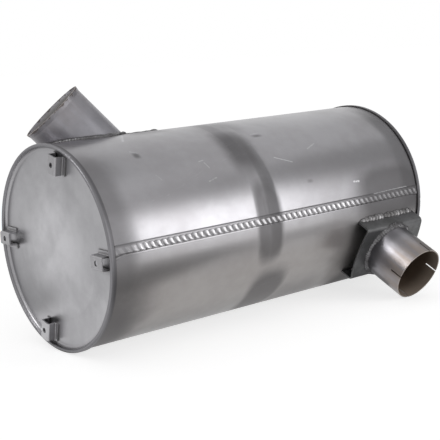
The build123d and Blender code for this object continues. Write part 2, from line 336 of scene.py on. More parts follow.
class Unroll(Effect):
    """Place on a tube or drum, as if its wall were rolled out flat."""

    name = "unroll"
    inputs = {"Foot": ORIGIN, "Axis": (1.0, 0.0, 0.0), "Side": (0.0, 0.0, 1.0), "Size": DRUM_RADIUS}
    outputs = ("Flat", "Along", "Arc", "Radius")

    def wire(self, w: Wiring, given: dict) -> dict:
        """Along the axis, round it and out from it."""
        foot, axis, side, size = given.values()
        away = w.vector("SUBTRACT", w.add("TexCoord").outputs["Object"], foot)
        along = w.dot(away, axis)
        up = w.dot(away, side)
        over = w.dot(away, w.vector("CROSS_PRODUCT", axis, side))
        arc = w.times(w.math("ARCTAN2", over, up), size)
        radius = w.math("SQRT", w.plus(w.times(up, up), w.times(over, over)))
        flat = w.add("CombineXYZ", {0: along, 1: arc, 2: radius}).outputs[0]
        return {"Flat": flat, "Along": along, "Arc": arc, "Radius": radius}


class Clouds(Effect):
    """Soft uneven patches, as handling and storage leave on bare sheet."""

    name = "clouds"
    inputs = {"Place": ORIGIN, "Scale": 9.0}
    outputs = ("Shade",)

    def wire(self, w: Wiring, given: dict) -> dict:
        """Two sizes of patch."""
        place, scale = given.values()
        wide = w.noise(place, scale, 3.0, 0.55)
        small = w.noise(place, w.times(scale, 5.3), 4.0, 0.6)
        return {"Shade": w.step(w.blend(0.35, wide, small), 0.34, 0.66)}


class Grain(Effect):
    """Fine rolling or drawing grain, long along the first direction of the place."""

    name = "grain"
    inputs = {"Place": ORIGIN, "Fine": 900.0, "Stretch": 0.06}
    outputs = ("Height",)

    def wire(self, w: Wiring, given: dict) -> dict:
        """Long streaks over even fine speckle."""
        place, fine, stretch = given.values()
        squeeze = w.add("CombineXYZ", {0: stretch, 1: 1.0, 2: 1.0}).outputs[0]
        streak = w.noise(w.vector("MULTIPLY", place, squeeze), fine, 3.0, 0.6)
        speckle = w.noise(place, w.times(fine, 0.7), 2.0, 0.5)
        return {"Height": w.blend(0.4, streak, speckle)}


class Scuffs(Effect):
    """Thin light scratches in two directions, gathered in patches."""

    name = "scuffs"
    inputs = {"Place": ORIGIN, "Scale": 10.0, "Amount": 0.5}

    def wire(self, w: Wiring, given: dict) -> dict:
        """Stretched noise, cut to thin lines, broken up and thinned out by patches."""
        place, scale, amount = given.values()
        lines = []
        for turn, seed in ((0.35, 1.7), (-0.6, 5.1)):
            spun = w.add("VectorRotate", {"Vector": place, "Angle": turn}, rotation_type="Z_AXIS").outputs[0]
            moved = w.vector("ADD", w.vector("MULTIPLY", spun, (0.05, 1.0, 0.3)), (seed, seed, seed))
            line = w.noise(moved, w.times(scale, 22.0), 1.5, 0.5)
            thin = w.fade(w.apart(line, 0.5), 0.0, 0.012)
            patch = w.step(w.noise(moved, scale, 2.0, 0.6), 0.56, 0.7)
            broken = w.step(w.noise(spun, w.times(scale, 7.0), 2.0, 0.6), 0.48, 0.6)
            lines.append(w.times(thin, w.times(patch, broken)))
        return {"Mask": w.times(w.larger(*lines), amount)}


class Stroke(Effect):
    """One scratch or smear between two places, ragged and fading at its ends."""

    name = "stroke"
    inputs = {"Place": ORIGIN, "Start": ORIGIN, "Run": (0.01, 0.0, 0.0), "Width": 0.001, "Rag": 0.5}

    def wire(self, w: Wiring, given: dict) -> dict:
        """Distance from the line, cut to its width."""
        place, start, run, width, rag = given.values()
        away = w.vector("MULTIPLY", w.vector("SUBTRACT", place, start), (1.0, 1.0, 0.0))
        share = w.add("Clamp", {0: w.math("DIVIDE", w.dot(away, run), w.dot(run, run))}).outputs[0]
        near = w.add("VectorMath", {0: run, "Scale": share}, operation="SCALE").outputs[0]
        gap = w.add("VectorMath", {0: away, 1: near}, operation="DISTANCE").outputs[1]
        torn = w.noise(place, 420.0, 3.0, 0.7)
        wide = w.times(width, w.blend(rag, 1.0, w.times(torn, 2.0)))
        body = w.fade(gap, w.times(wide, 0.3), wide)
        return {"Mask": w.times(body, w.blend(rag, 1.0, w.step(torn, 0.36, 0.56)))}


class Pull(Effect):
    """Soft ridge round the drum, where the sheet is stretched over something inside."""

    name = "pull"
    inputs = {"Along": 0.0, "Arc": 0.0, "At": 0.3, "Half": 0.013, "Wander": 0.006, "End": 1.0, "Soft": 0.12}
    outputs = ("Height",)

    def wire(self, w: Wiring, given: dict) -> dict:
        """Roof shaped ridge with even slopes, whose line wanders a little and which fades out at its end."""
        along, arc, at, half, wander, end, soft = given.values()
        spot = w.add("CombineXYZ", {0: at, 1: arc}).outputs[0]
        sway = w.times(w.minus(w.noise(spot, 11.0, 1.0), 0.5), wander)
        far = w.math("DIVIDE", w.minus(w.minus(along, at), sway), half)
        far = w.math("SQRT", w.math("MULTIPLY_ADD", far, far, 0.02))
        roof = w.math("SMOOTH_MAX", w.minus(1.0, far), 0.0, soft)
        return {"Height": w.times(roof, w.fade(w.minus(arc, end), -0.014, 0.004))}


class SoftPatch(Effect):
    """Patch with a soft uneven edge, where the drum is made darker and duller."""

    name = "dark_tone"
    inputs = {"Place": ORIGIN, "Centre": ORIGIN, "Half": (0.03, 0.03, 1.0), "Soft": 0.3}

    def wire(self, w: Wiring, given: dict) -> dict:
        """Rounded box about the centre, its edge moved by noise."""
        place, centre, half, soft = given.values()
        away = w.vector("DIVIDE", w.vector("SUBTRACT", place, centre), half)
        parts = w.add("SeparateXYZ", {0: away}).outputs
        cubes = [w.math("POWER", w.math("ABSOLUTE", parts[i]), 3.0) for i in (0, 1)]
        sway = w.times(w.minus(w.noise(place, 22.0, 3.0, 0.6), 0.5), 0.5)
        far = w.plus(w.math("POWER", w.plus(*cubes), 0.333), w.times(sway, soft))
        return {"Mask": w.fade(far, w.minus(1.0, soft), w.math("MULTIPLY_ADD", soft, 0.5, 1.0))}


class Stitches(Effect):
    """The lock seam's row of slanted dents, told from the place on the unrolled drum."""

    name = "stitches"
    inputs = {"Along": 0.0, "Arc": 0.0}
    outputs = ("Gap", "Crest", "Ledge")

    def wire(self, w: Wiring, given: dict) -> dict:
        """Dents, crests between them, and the ledge above the band."""
        along, arc = given.values()
        up = w.minus(round_to(SEAM_ANGLE), arc)
        slant = w.times(w.minus(STITCH_TOP, up), STITCH_SLANT)
        run = w.minus(w.minus(along, FIRST_STITCH), slant)
        wave = w.math("COSINE", w.times(w.math("DIVIDE", run, STITCH_PITCH), 2 * math.pi))
        band = w.times(w.fade(up, 0.0044, 0.0058), w.step(up, -0.0078, -0.0066))
        crown = w.times(w.fade(up, 0.0026, 0.0042), w.step(up, -0.0066, -0.0050))
        # The crests' painted highlight grows in from the near rim and falls to a quarter beyond about 0.55 m.
        early = w.step(along, 0.045, 0.095, 0.12, 1.0)
        lasting = w.times(early, w.step(along, 0.50, 0.58, 1.0, 0.25))
        return {
            "Gap": w.times(w.step(wave, 0.25, 0.95), band, early),
            "Crest": w.times(w.fade(wave, -0.4, 0.4), crown, lasting),
            "Ledge": w.fade(w.apart(up, 0.0068), 0.0006, 0.0027),
        }


class GrimeAndShade(Effect):
    """Dirt and painted shade in corners, joints and grooves."""

    name = "grime_and_shade"
    inputs = {"Reach": 0.008, "Place": ORIGIN}

    def wire(self, w: Wiring, given: dict) -> dict:
        """Shut-in places, broken up by noise."""
        reach, place = given.values()
        # Ambient occlusion darkens the shut-in places: painted shade there, laid with the dirt that gathers in
        # them.
        open_to = w.add("AmbientOcclusion", {"Distance": reach}, samples=8).outputs["AO"]
        broken = w.step(w.noise(place, 160.0, 3.0, 0.6), 0.2, 0.6, 0.55, 1.0)
        return {"Mask": w.times(w.fade(open_to, 0.35, 0.95), broken)}


class EdgeWear(Effect):
    """Bright worn metal along the edges of a sheet."""

    name = "edge_wear"
    inputs = {"Width": 0.0012, "Place": ORIGIN}

    def wire(self, w: Wiring, given: dict) -> dict:
        """Where a rounded normal leaves the true one."""
        width, place = given.values()
        rounded = w.add("Bevel", {"Radius": width}, samples=6).outputs[0]
        true = w.add("NewGeometry").outputs["Normal"]
        broken = w.step(w.noise(place, 260.0, 3.0, 0.6), 0.38, 0.6, 0.25, 1.0)
        return {"Mask": w.times(w.fade(w.dot(rounded, true), 0.86, 0.99), broken)}


UNROLL, CLOUDS, GRAIN, SCUFFS = Unroll(), Clouds(), Grain(), Scuffs()
STROKE, PULL, SOFT_PATCH, STITCHES, GRIME_AND_SHADE, EDGE_WEAR = Stroke(), Pull(), SoftPatch(), Stitches(), GrimeAndShade(), EdgeWear()


# Finishes


@dataclass(frozen=True)
class Tint:
    """A colour that lies over another one, and its share where it is strongest."""

    colour: tuple
    share: float

    def over(self, w: Wiring, mask: Value, below: Value) -> Socket:
        """The colour below with this one over it, as far as the mask goes."""
        return w.mix(w.times(mask, self.share), below, self.colour)


@dataclass(frozen=True)
class Finish:
    """Bare metal: its colour, its gloss and how uneven both are, with dirt and painted shade in its corners.
    """

    name: str
    colour: tuple
    other: tuple
    rough: float
    spread: float = 0.1
    metal: float = 1.0
    cloud_scale: float = 9.0
    grain_fine: float = 900.0
    grain_depth: float = 0.00002
    # Darkening in corners: real dirt, and painted shade where ambient occlusion finds shut-in places.
    grime_and_shade_colour: tuple = (0.06, 0.055, 0.05)
    grime_and_shade_share: float = 0.7
    grime_and_shade_reach: float = 0.008
    grime_and_shade_rough: float = 0.7

    def material(self) -> bpy.types.Material:
        """The finished material, built when it is first asked for."""
        title = f"{self.name}_finish"
        found = bpy.data.materials.get(title)
        if found:
            return found
        made = bpy.data.materials.new(title)
        w = Wiring.of(made)
        shader = w.add("BsdfPrincipled", {"Metallic": self.metal, **self.look(w)})
        w.add("OutputMaterial", {"Surface": shader.outputs[0]})
        return made

    def dress(self, *names: str) -> None:
        """Puts the material on CAD nodes.

        Args:
            names: the nodes' names.
        """
        for name in names:
            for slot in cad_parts[name].material_slots:
                slot.material = self.material()
            LOG.info("%s dressed", name)

    def base(self, w: Wiring, place: Socket) -> tuple:
        """Colour, roughness and height that every bare metal here has.

        Args:
            w: wiring of the material.
            place: where on the surface, as a vector.

        Returns:
            The sockets of colour, roughness and height.
        """
        shade = CLOUDS.place(w, place=place, scale=self.cloud_scale)["Shade"]
        height = GRAIN.place(w, place=place, fine=self.grain_fine)["Height"]
        rough = w.plus(w.times(w.minus(0.5, shade), self.spread), self.rough)
        return w.mix(shade, self.other, self.colour), rough, height

    def dirt_and_shade(self, w: Wiring, place: Socket) -> Socket:
        """Mask of the dirt and painted shade in corners and joints."""
        return w.times(GRIME_AND_SHADE.place(w, place=place, reach=self.grime_and_shade_reach)["Mask"], self.grime_and_shade_share)

    def with_dirt_and_shade(self, w: Wiring, dirt_and_shade: Socket, colour: Value, rough: Value, height: Value) -> dict:
        """Lays the dirt and painted shade over the rest of the finish.

        Args:
            w: wiring of the material.
            dirt_and_shade: mask of the dirt and painted shade.
            colour: colour without them.
            rough: roughness without them.
            height: height of the grain.

        Returns:
            What goes into the shader's inputs, by name.
        """
        return {
            "Base Color": w.mix(dirt_and_shade, colour, self.grime_and_shade_colour),
            "Roughness": w.blend(dirt_and_shade, rough, self.grime_and_shade_rough),
            "Normal": w.bump(height, self.grain_depth),
        }

    def look(self, w: Wiring) -> dict:
        """Builds the finish.

        Args:
            w: wiring of the material.

        Returns:
            What goes into the shader's inputs, by name.
        """
        place = w.add("TexCoord").outputs["Object"]
        return self.with_dirt_and_shade(w, self.dirt_and_shade(w, place), *self.base(w, place))


@dataclass(frozen=True)
class Mark:
    """A scratch or smear on the drum: its start, its run and turn, and how wide, light and ragged it is."""

    along: float
    angle: float
    run: float
    turn: float
    width: float
    light: float
    rag: float

    def shown(self, w: Wiring, flat: Socket) -> Socket:
        """Where the mark shows, and how strongly.

        Args:
            w: wiring of the material.
            flat: place on the unrolled drum.

        Returns:
            The mask.
        """
        turn = math.radians(self.turn)
        run = (self.run * math.cos(turn), -self.run * math.sin(turn), 0.0)
        values = vars(self) | {"place": flat, "start": (self.along, round_to(self.angle), 0.0), "run": run}
        return w.times(STROKE.place(w, **values)["Mask"], self.light)


@dataclass(frozen=True)
class Ridge:
    """A pull in the sheet: its place, half width, rise, wander, the angle at its end, and its softness."""

    at: float
    half: float
    rise: float
    wander: float
    end: float
    soft: float

    def raised(self, w: Wiring, flat: bpy.types.NodeOutputs, height: Socket) -> Socket:
        """The height with the ridge added to it."""
        values = vars(self) | {"along": flat["Along"], "arc": flat["Arc"], "end": round_to(self.end)}
        return w.math("MULTIPLY_ADD", PULL.place(w, **values)["Height"], self.rise, height)


@dataclass(frozen=True)
class SmudgeAndShade:
    """A darker, duller patch on the drum, real smudge and painted shade alike: its middle, half its length and
    turn, and how soft, dark and matt it is.
    """

    along: float
    angle: float
    half: float
    turn: float
    soft: float
    dark: float
    matt: float = 0.0

    def mask(self, w: Wiring, flat: Socket) -> Socket:
        """Where the patch is."""
        centre, half = (self.along, round_to(self.angle), 0.0), (self.half, round_to(self.turn), 1.0)
        return SOFT_PATCH.place(w, place=flat, centre=centre, half=half, soft=self.soft)["Mask"]


@dataclass(frozen=True, kw_only=True)
class ShellFinish(Finish):
    """Aluminised sheet of the drum, pulled over the baffles and marked by handling, with much painted shade
    and painted reflection.
    """

    ridges: tuple
    marks: tuple
    smudges_and_shades: tuple
    wave_depth: float = 0.0035
    scuff_share: float = 0.12
    # The lower flank is tinted warmer, and the underside is painted darker towards the dark tone, as painted
    # shade.
    low_tone: tuple = (1.02, 0.99, 0.93)
    low_from: tuple = (0.24, 0.34)
    underside_shade_from: tuple = (0.375, 0.455)
    underside_shade_share: float = 0.6
    dark_tone: tuple = (0.095, 0.092, 0.095)
    # Painted highlight on the seam's crests; painted shade in its dents and along its upper ledge.
    crest: Tint = Tint((0.74, 0.73, 0.75), 0.7)
    gap: Tint = Tint((0.13, 0.126, 0.13), 0.6)
    ledge_shade: Tint = Tint((0.12, 0.116, 0.12), 0.62)
    # Painted shade in the groove where the sheet meets each rim.
    groove_shade: Tint = Tint((0.055, 0.052, 0.055), 0.75)
    groove_shade_from: tuple = (0.0125, 0.0100)
    scratch: tuple = (0.62, 0.62, 0.64)
    bright_rough: float = 0.45

    def look(self, w: Wiring) -> dict:
        """Sheet with soft ridges, scuffs, single marks, painted shade and reflection, and a painted darker
        groove at its rims.
        """
        flat = UNROLL.place(w)
        place, along, arc = flat["Flat"], flat["Along"], flat["Arc"]
        colour, rough, grain = self.base(w, place)
        scuffed = SCUFFS.place(w, place=place, scale=9.0, amount=self.scuff_share)["Mask"]
        for mark in self.marks:
            scuffed = w.larger(scuffed, mark.shown(w, place))
        height = w.times(w.noise(place, 5.0, 1.0, 0.4), self.wave_depth)
        for ridge in self.ridges:
            height = ridge.raised(w, flat, height)
        stain_and_shade = matt = 0.0
        # Darker, duller patches: a few real smudges, the rest painted shade and painted reflection.
        for smudge_and_shade in self.smudges_and_shades:
            mask = smudge_and_shade.mask(w, place)
            stain_and_shade = w.larger(w.times(mask, smudge_and_shade.dark), stain_and_shade)
            matt = w.larger(w.times(mask, smudge_and_shade.matt or 0.9 * smudge_and_shade.dark), matt)
        colour = w.mix(w.step(arc, *self.low_from), colour, w.vector("MULTIPLY", colour, self.low_tone))
        # Painted shade: the underside is darkened towards the dark tone.
        underside_shade = w.step(w.math("ABSOLUTE", arc), *self.underside_shade_from, 0.0, self.underside_shade_share)
        colour = w.mix(w.larger(stain_and_shade, underside_shade), colour, self.dark_tone)
        seam = STITCHES.place(w, along=along, arc=arc)
        # The seam's painted highlight on the crests, and painted shade in the dents and along the ledge.
        for name, tint in (("Crest", self.crest), ("Gap", self.gap), ("Ledge", self.ledge_shade)):
            colour = tint.over(w, seam[name], colour)
        # Painted shade in the groove beside each rim.
        groove_shade = w.step(w.apart(along, DRUM_MIDDLE), *(DRUM_HALF - inward for inward in self.groove_shade_from))
        colour = w.mix(scuffed, self.groove_shade.over(w, groove_shade, colour), self.scratch)
        dirt_and_shade = self.dirt_and_shade(w, place)
        rough = w.blend(w.larger(scuffed, w.times(seam["Crest"], 0.4)), rough, self.bright_rough)
        return {
            "Base Color": w.mix(dirt_and_shade, colour, self.grime_and_shade_colour),
            "Roughness": w.blend(w.larger(dirt_and_shade, matt), rough, self.grime_and_shade_rough),
            "Normal": w.bump(grain, self.grain_depth, w.bump(height, 1.0)),
        }


@dataclass(frozen=True)
class CapFinish(Finish):
    """Pressed cap: lighter in its middle and darker towards its knuckle as painted reflection, dark on its
    rolled rim, with painted shade on its recess wall and behind the rim.
    """

    # Painted reflection: the cap darkens from its crown towards its knuckle. Painted shade on its recess wall
    # and behind its rim.
    outer_shade: Tint = Tint((0.20, 0.198, 0.205), 0.48)
    outer_shade_from: tuple = (0.040, 0.125)
    outer_shade_sway: float = 0.10
    wall: tuple = (0.31, 0.306, 0.318)
    wall_from: tuple = (0.1580, 0.1600)
    rim: tuple = (0.185, 0.182, 0.192)
    rim_from: tuple = (0.1662, 0.1668)
    rim_rough: float = 0.46
    shade_behind_rim: Tint = Tint((0.10, 0.097, 0.102), 0.72)
    shade_behind_from: tuple = (0.0068, 0.003)
    scratch: tuple = (0.7, 0.7, 0.7)
    scuff_share: float = 0.12

    def look(self, w: Wiring) -> dict:
        """Rings of colour by the distance from the axis, with painted reflection and shade, and streaks of
        handling.
        """
        flat = UNROLL.place(w)
        place = w.add("TexCoord").outputs["Object"]
        colour, rough, height = self.base(w, place)
        cloud = w.noise(w.vector("MULTIPLY", place, (1.0, 1.0, 0.6)), 11.0, 3.0, 0.6)
        away = w.math("MULTIPLY_ADD", w.minus(cloud, 0.5), self.outer_shade_sway, flat["Radius"])
        # Painted reflection: darker towards the knuckle.
        colour = self.outer_shade.over(w, w.step(away, *self.outer_shade_from), colour)
        # Painted shade on the recess wall.
        colour = w.mix(w.step(flat["Radius"], *self.wall_from), colour, self.wall)
        on_rim = w.step(flat["Radius"], *self.rim_from)
        colour = w.mix(on_rim, colour, self.rim)
        # Painted shade on the part of the rim that lies towards the drum.
        away = w.apart(flat["Along"], DRUM_MIDDLE)
        shade_behind = w.fade(away, *(DRUM_HALF - inward for inward in self.shade_behind_from))
        colour = self.shade_behind_rim.over(w, w.times(on_rim, shade_behind), colour)
        scuffed = SCUFFS.place(w, place=place, scale=14.0, amount=self.scuff_share)["Mask"]
        colour = w.mix(scuffed, colour, self.scratch)
        return self.with_dirt_and_shade(w, self.dirt_and_shade(w, place), colour, w.blend(on_rim, rough, self.rim_rough), height)


@dataclass(frozen=True, kw_only=True)
class TubeFinish(Finish):
    """Drawn tube: streaked along its length, browned at its mouth, sooty inside and lighter in its bore near
    the mouth, with painted shade near its root where set.
    """

    foot: tuple
    axis: tuple
    side: tuple = (1.0, 0.0, 0.0)
    radius: float
    wall: float = 0.002
    mouth: float
    brown: Tint = Tint((0.215, 0.170, 0.140), 0.15)
    brown_from: float = 0.06
    soot: tuple = (0.085, 0.060, 0.042)
    soot_rough: float = 0.62
    bore_mouth_tone: tuple = (0.33, 0.272, 0.225)
    cut: Tint = Tint((0.42, 0.38, 0.35), 0.35)
    rust: tuple = ((0.055, 0.046, 0.042), (0.14, 0.112, 0.098))
    rust_edge: float = 0.0
    rust_rough: float = 0.75
    root_shade: Tint = Tint((0.075, 0.073, 0.08), 0.5)
    root_shade_to: float = 0.0
    root_shade_run: float = 0.018

    def look(self, w: Wiring) -> dict:
        """Outside, mouth and bore, each by its place on the tube."""
        flat = UNROLL.place(w, foot=self.foot, axis=self.axis, side=self.side, size=self.radius)
        place, along = flat["Flat"], flat["Along"]
        colour, rough, height = self.base(w, place)
        streak = w.step(w.noise(w.vector("MULTIPLY", place, (0.09, 1.0, 0.0)), 90.0, 3.0, 0.6), 0.35, 0.65)
        near_mouth = w.step(along, self.mouth - self.brown_from, self.mouth - 0.3 * self.brown_from)
        dark_tone = w.times(near_mouth, w.math("MULTIPLY_ADD", streak, 0.7, 0.3))
        colour = self.brown.over(w, dark_tone, colour)
        rough = w.blend(dark_tone, rough, w.plus(rough, 0.08))
        # Painted reflection of the saddle: the tube is darker near its root.
        if self.root_shade_to:
            before = w.fade(along, self.root_shade_to - self.root_shade_run, self.root_shade_to)
            colour = self.root_shade.over(w, before, colour)
        if self.rust_edge:
            patch = w.noise(place, 75.0, 4.0, 0.65)
            reach = w.plus(along, w.times(w.minus(patch, 0.5), 0.025))
            rusty = w.times(w.step(reach, self.mouth - self.rust_edge, self.mouth), 0.7)
            colour = w.mix(rusty, colour, w.mix(patch, *self.rust))
            rough = w.blend(rusty, rough, self.rust_rough)
        inside = w.fade(flat["Radius"], self.radius - 0.8 * self.wall, self.radius - 0.5 * self.wall)
        sooty = w.mix(w.noise(place, 38.0, 4.0, 0.6), self.soot, tuple(1.9 * c for c in self.soot))
        # The bore is lighter near its mouth and darker deeper in.
        bore_mouth_tone = w.step(along, self.mouth - 0.034, self.mouth - 0.002, 0.0, 0.8)
        colour = w.mix(inside, colour, w.mix(bore_mouth_tone, sooty, self.bore_mouth_tone))
        rough = w.blend(inside, rough, self.soot_rough)
        colour = self.cut.over(w, w.step(along, self.mouth - 0.0006, self.mouth - 0.0002), colour)
        dirt_and_shade = w.times(self.dirt_and_shade(w, place), w.minus(1.0, inside))
        bore_metal = w.blend(inside, self.metal, 0.35)
        return {**self.with_dirt_and_shade(w, dirt_and_shade, colour, rough, height), "Metallic": bore_metal}


@dataclass(frozen=True, kw_only=True)
class PlateFinish(Finish):
    """Folded plate with dark mill scale, worn bright on its edges and bends."""

    worn: tuple
    worn_rough: float = 0.35
    wear_width: float = 0.0012
    wear_share: float = 0.7
    scuff_share: float = 0.4

    def look(self, w: Wiring) -> dict:
        """Scale, worn edges, scuffs, and dirt and painted shade in corners."""
        place = w.add("TexCoord").outputs["Object"]
        colour, rough, height = self.base(w, place)
        worn = w.times(EDGE_WEAR.place(w, place=place, width=self.wear_width)["Mask"], self.wear_share)
        scuffed = SCUFFS.place(w, place=place, scale=26.0, amount=self.scuff_share)["Mask"]
        bright = w.larger(worn, scuffed)
        colour = w.mix(bright, colour, self.worn)
        return self.with_dirt_and_shade(w, self.dirt_and_shade(w, place), colour, w.blend(bright, rough, self.worn_rough), height)


WELD = Finish(
    "weld_metal",
    colour=(0.27, 0.265, 0.27),
    other=(0.12, 0.116, 0.116),
    rough=0.42,
    spread=0.15,
    cloud_scale=60.0,
    grime_and_shade_share=0.5,
)
DULL_WELD = replace(
    WELD,
    name="dull_weld_metal",
    colour=(0.19, 0.187, 0.194),
    other=(0.085, 0.083, 0.085),
    rough=0.48,
    cloud_scale=90.0,
)


# Weld beads


class Ends(Enum):
    """How a bead ends."""

    RING = "closed ring"
    RUN = "open run with tapered ends"


@dataclass
class WeldBead:
    """A rippled weld bead laid along the corner between two surfaces, with drops of spatter beside it."""

    name: str
    stands_for: str
    leg: float
    ends: Ends = Ends.RUN
    finish: Finish = DULL_WELD
    pitch: float = 0.0034
    ripple: float = 0.2
    lumps: float = 0.3
    lump_scale: float = 95.0
    fine: float = 0.14
    fine_scale: float = 420.0
    fill: float = 0.72
    flatten: float = 0.8
    lift: float = 0.22
    around: int = 16
    taper: float = 0.006
    drops: int = 0
    drop_size: tuple = (0.0006, 0.0015)
    drop_reach: tuple = (0.004, 0.011)
    drop_height: float = 0.7
    seed: int = 21

    def build(self, track: Track) -> None:
        """Sweeps the lumpy section along the corner and adds the spatter.

        Args:
            track: even places along the corner, each with the unit vectors out of its two surfaces.
        """
        closed = self.ends is Ends.RING
        runs = list(accumulate(((b[0] - a[0]).length for a, b in zip(track, track[1:])), initial=0.0))
        verts = []
        for (place, first, second), run in zip(track, runs):
            room = 1.0 if closed else min(1.0, 0.3 + min(run, runs[-1] - run) / self.taper)
            verts += self.section(place, first, second, run, self.leg * room)
        faces = tube_faces(len(track), self.around, closed)
        self.add_drops(verts, faces, track)
        piece = add_mesh(self.name, verts, faces)
        piece.data.shade_smooth()
        if self.stands_for:
            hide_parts(self.stands_for)
        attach(piece, "root")
        piece.data.materials.append(self.finish.material())
        LOG.info("%s laid", self.name)

    def section(self, place: Vector, first: Vector, second: Vector, run: float, leg: float) -> list[Vector]:
        """Lumpy round section of the bead.

        Args:
            place: where on the corner it is.
            first: unit vector out of the first surface.
            second: unit vector out of the second surface.
            run: distance from the bead's start.
            leg: the bead's leg here.

        Returns:
            The points round the section.
        """
        out, across = (first + second).normalized(), (first - second).normalized()
        wide = noise.noise(place * self.lump_scale + Vector((self.seed, 0, 0)))
        centre = place + out * (self.lift * leg)
        ring = []
        for turn in turns(self.around):
            spot = out * math.cos(turn) + across * (math.sin(turn) / self.flatten)
            phase = run / self.pitch + 0.32 * math.sin(turn) ** 2 + 0.3 * wide
            crest = abs(math.cos(math.pi * phase)) - 0.5
            fine = noise.noise((place + spot * self.leg) * self.fine_scale + Vector((0, self.seed, 0)))
            size = self.fill * leg * (1 + self.ripple * crest + self.lumps * wide + self.fine * fine)
            ring.append(centre + spot * (self.flatten * size))
        return ring

    def add_drops(self, verts: list, faces: list, track: Track) -> None:
        """Adds half round drops of spatter to the first surface, beside the bead.

        Args:
            verts: points to add to.
            faces: faces to add to.
            track: the bead's places.
        """
        draw = random.Random(self.seed)
        rings, sides = 3, 8
        for _ in range(self.drops):
            i = draw.randrange(len(track))
            place, up = track[i][:2]
            along = (track[min(i + 1, len(track) - 1)][0] - track[max(i - 1, 0)][0]).normalized()
            aside = along.cross(up)
            size = draw.uniform(*self.drop_size)
            away = draw.uniform(*self.drop_reach)
            centre = place + aside * away + up * (0.1 * size - away * away / (2 * DRUM_RADIUS))
            start = len(verts) + 1
            verts.append(centre + up * size * self.drop_height)
            for r in range(1, rings + 1):
                low = math.pi / 2 * r / rings
                lift = up * (size * self.drop_height * math.cos(low))
                for turn in turns(sides):
                    flat = along * math.cos(turn) + aside * math.sin(turn)
                    verts.append(centre + flat * size * math.sin(low) + lift)
            for s in range(sides):
                t = (s + 1) % sides
                faces.append((start - 1, start + s, start + t))
                for a in range(start, start + (rings - 1) * sides, sides):
                    faces.append((a + s, a + sides + s, a + sides + t, a + t))
            faces.append(tuple(start + (rings - 1) * sides + s for s in reversed(range(sides))))


# Sub-assemblies


@dataclass
class Drum:
    """The rolled shell with its stitched lock seam, and the two caps rolled over its ends."""

    ridges: tuple = (
        Ridge(0.332, 0.026, 0.0044, 0.010, 112.0, 0.12),
        Ridge(0.009, 0.056, -0.0044, 0.012, 190.0, 0.45),
        Ridge(0.717, 0.045, -0.0040, 0.010, 190.0, 0.3),
    )
    marks: tuple = (
        Mark(0.153, 4.1, 0.042, -121.7, 0.0032, 0.50, 0.9),
        Mark(0.120, 29.0, 0.012, -30.0, 0.0022, 0.30, 0.9),
        Mark(0.229, 44.5, 0.010, 10.0, 0.0012, 0.45, 0.7),
        Mark(0.238, 45.5, 0.014, -70.0, 0.0012, 0.45, 0.7),
        Mark(0.229, 58.0, 0.018, 15.0, 0.0014, 0.40, 0.8),
        Mark(0.135, 49.0, 0.012, -60.0, 0.0012, 0.22, 0.8),
        Mark(0.379, 28.0, 0.016, 5.0, 0.0016, 0.30, 0.9),
        Mark(0.386, 49.6, 0.037, -23.0, 0.0012, 0.85, 0.35),
        Mark(0.471, 47.1, 0.024, 22.0, 0.0016, 0.45, 0.6),
        Mark(0.546, 73.3, 0.012, -5.0, 0.0024, 0.9, 0.95),
        Mark(0.590, 83.0, 0.090, 1.0, 0.0012, 0.45, 0.4),
    )
    # The patches at 0.125, 0.387 and 0.442 m are real smudges; the rest are painted shade and painted
    # reflection.
    smudges_and_shades: tuple = (
        SmudgeAndShade(0.325, 38.1, 0.035, 20.0, 0.6, 0.72),
        SmudgeAndShade(0.334, 87.1, 0.030, 26.0, 0.3, 0.66),
        SmudgeAndShade(0.330, 82.0, 0.014, 19.0, 0.7, 0.74),
        SmudgeAndShade(0.349, 140.0, 0.045, 25.0, 0.35, 0.74),
        SmudgeAndShade(0.340, 11.0, 0.045, 14.0, 0.8, 0.36),
        SmudgeAndShade(0.205, 0.0, 0.042, 8.0, 0.8, 0.45),
        SmudgeAndShade(0.009, 56.0, 0.051, 33.0, 0.4, 0.42),
        SmudgeAndShade(0.009, 105.0, 0.053, 48.0, 0.4, 0.52),
        SmudgeAndShade(0.022, 140.0, 0.076, 40.0, 0.7, 0.82),
        SmudgeAndShade(0.689, 26.0, 0.024, 18.0, 0.8, 0.40),
        SmudgeAndShade(0.640, 83.0, 0.102, 19.0, 0.4, 0.80),
        SmudgeAndShade(0.550, 124.0, 0.056, 30.0, 0.8, 0.18, 1.0),
        SmudgeAndShade(0.440, 149.0, 0.090, 20.0, 0.8, 0.55),
        SmudgeAndShade(0.125, 33.0, 0.0065, 2.6, 0.8, 0.65),
        SmudgeAndShade(0.387, 30.4, 0.011, 1.4, 0.8, 0.55),
        SmudgeAndShade(0.442, 68.1, 0.007, 1.3, 0.8, 0.40),
    )

    def finish(self) -> ShellFinish:
        """Finish of the shell and its seam."""
        blemishes_and_shades = {"ridges": self.ridges, "marks": self.marks, "smudges_and_shades": self.smudges_and_shades}
        grime_and_shade = {"grime_and_shade_share": 0.45, "grime_and_shade_reach": 0.006, "grime_and_shade_rough": 0.6}
        tones = {"colour": (0.335, 0.33, 0.345), "other": (0.30, 0.293, 0.305)}
        return ShellFinish("aluminised_shell", rough=0.30, spread=0.04, **tones, **grime_and_shade, **blemishes_and_shades)

    def dress(self) -> None:
        """Finishes of the shell and its caps."""
        self.finish().dress("shell")
        cap = CapFinish("cap_sheet", colour=(0.50, 0.496, 0.514), other=(0.40, 0.396, 0.412), rough=0.33)
        cap.dress("front_head", "rear_head")


